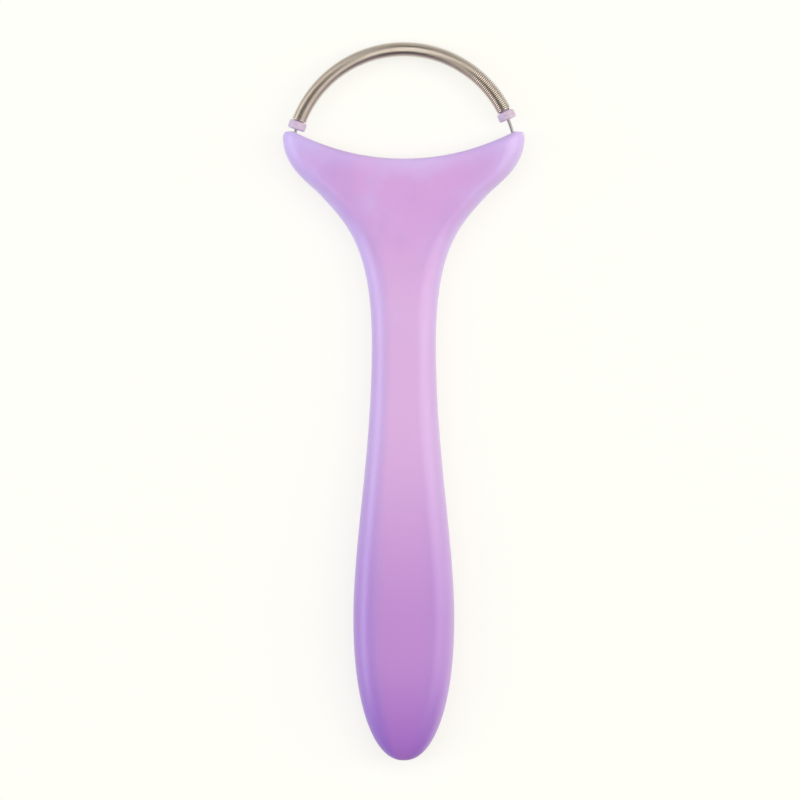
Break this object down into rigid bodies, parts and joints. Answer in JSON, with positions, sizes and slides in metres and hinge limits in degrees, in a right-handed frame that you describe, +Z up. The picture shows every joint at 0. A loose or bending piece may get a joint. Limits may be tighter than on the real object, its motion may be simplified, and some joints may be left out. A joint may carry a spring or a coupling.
{
  "type": "facial hair remover",
  "caption": "Forked moulded handle with a close-wound steel coil that turns on a wire arc between its two horns, for rolling fine hair off the skin.",
  "frame": {"origin": "centre of the object's outline as seen from above, on the surface that it lies on", "axes": "+Y from the butt of the handle to the coil, +Z up from the flat back to the front, +X to the right seen from the front"},
  "size_m": [0.0506, 0.15, 0.0106],
  "materials": {
    "handle_plastic": "satin moulded lavender plastic",
    "wire_steel": "drawn bright steel wire",
    "coil_steel": "polished close-wound steel wire",
    "collar_plastic": "pale translucent lavender plastic"
  },
  "bodies": {
    "handle": {"handle": "handle_plastic", "core_wire": "wire_steel"},
    "roller": {"coil_spring": "coil_steel"},
    "left_collar": {"collar_left": "collar_plastic"},
    "right_collar": {"collar_right": "collar_plastic"}
  },
  "joints": [
    {"name": "roller_shift", "type": "hinge", "parent": "handle", "child": "roller", "pos_m": [0, 0.05, 0.0038], "axis": [0, 0, 1], "range_deg": [-6.34, 0.98]},
    {"name": "left_collar_spin", "type": "hinge", "parent": "roller", "child": "left_collar", "pos_m": [-0.02224, 0.05754, 0.0038], "axis": [0.3213, 0.947, 0], "continuous": true},
    {"name": "right_collar_spin", "type": "hinge", "parent": "roller", "child": "right_collar", "pos_m": [0.02144, 0.05959, 0.0038], "axis": [0.4084, -0.9128, 0], "continuous": true}
  ],
  "couplings": [
    {"joint": "right_collar_spin", "follows": "left_collar_spin", "ratio": 1}
  ]
}
